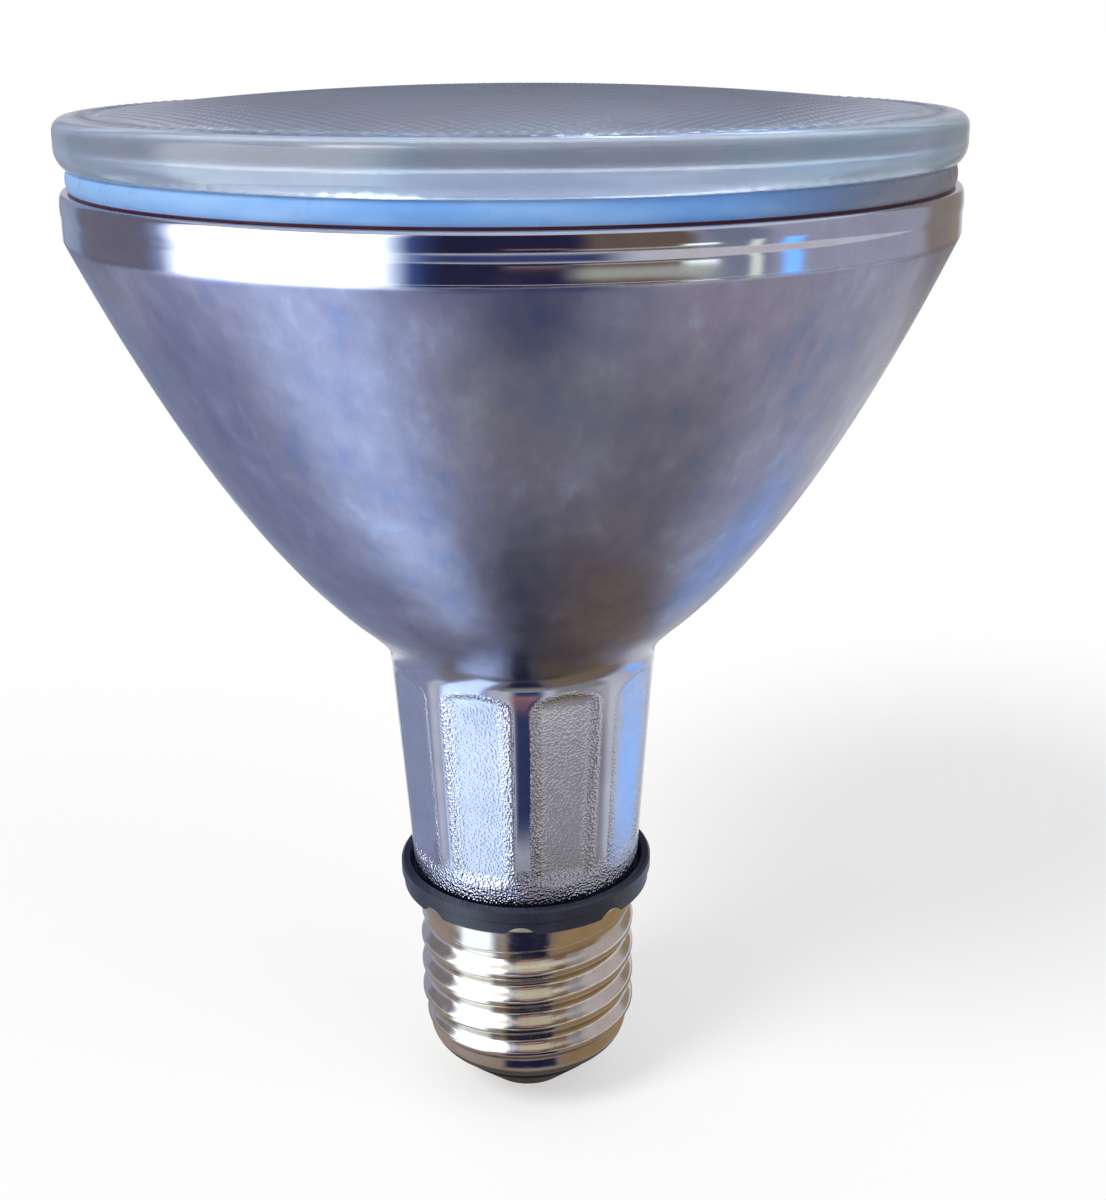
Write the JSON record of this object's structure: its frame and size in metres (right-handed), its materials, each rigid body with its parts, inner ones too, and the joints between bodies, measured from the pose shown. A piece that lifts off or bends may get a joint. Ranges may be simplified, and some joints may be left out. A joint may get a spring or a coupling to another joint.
{
  "type": "metal halide lamp",
  "caption": "Reflector lamp: pressed glass parabolic bowl on a panelled neck, domed front lens, black collar and rolled screw cap, with a ceramic burner inside.",
  "frame": {"origin": "centre of the cap's lowest face, the small flat of solder under the centre contact, at the bottom of the lamp's bounding box", "axes": "+Z along the lamp's axis, from the cap to the front lens; -Y is the side that faces the viewer in the picture, +X is to the viewer's right"},
  "size_m": [0.0966, 0.0966, 0.1217],
  "materials": {
    "mirrored_glass": "pressed glass with an aluminium mirror behind it",
    "lens_glass": "pressed glass with a pattern of small lenses",
    "seal": "translucent grey-blue sealant",
    "collar_plastic": "satin black",
    "nickel": "nickel-plated brass, bright",
    "black_glass": "glossy black glass",
    "contact_brass": "bright",
    "solder": "dull bright solder",
    "cement": "rough basing cement",
    "ceramic": "unglazed steatite",
    "quartz": "clear quartz",
    "molybdenum": "drawn metal",
    "alumina": "translucent sintered alumina",
    "tungsten": "drawn tungsten",
    "niobium": "drawn niobium",
    "frit": "fused seal glass",
    "lead_wire": "nickel wire",
    "sleeving": "braided glass sleeve"
  },
  "bodies": {
    "root": {"reflector": "mirrored_glass", "front_lens": "lens_glass", "lens_seal": "seal", "insulating_collar": "collar_plastic", "screw_shell": "nickel", "cap_insulator": "black_glass", "centre_contact": "contact_brass", "contact_solder": "solder", "cap_cement": "cement", "burner_holder": "ceramic", "burner_cement": "cement", "burner_capsule": "quartz", "foil_live": "molybdenum", "foil_neutral": "molybdenum", "pin_live": "molybdenum", "pin_neutral": "molybdenum", "frame_wire_short": "molybdenum", "frame_wire_long": "molybdenum", "getter": "tungsten", "discharge_vessel": "alumina", "electrode_lower": "tungsten", "electrode_upper": "tungsten", "feedthrough_lower": "niobium", "feedthrough_upper": "niobium", "frit_lower": "frit", "frit_upper": "frit", "live_lead": "lead_wire", "live_sleeve": "sleeving", "neutral_lead": "lead_wire", "shell_solder": "solder"}
  },
  "joints": []
}
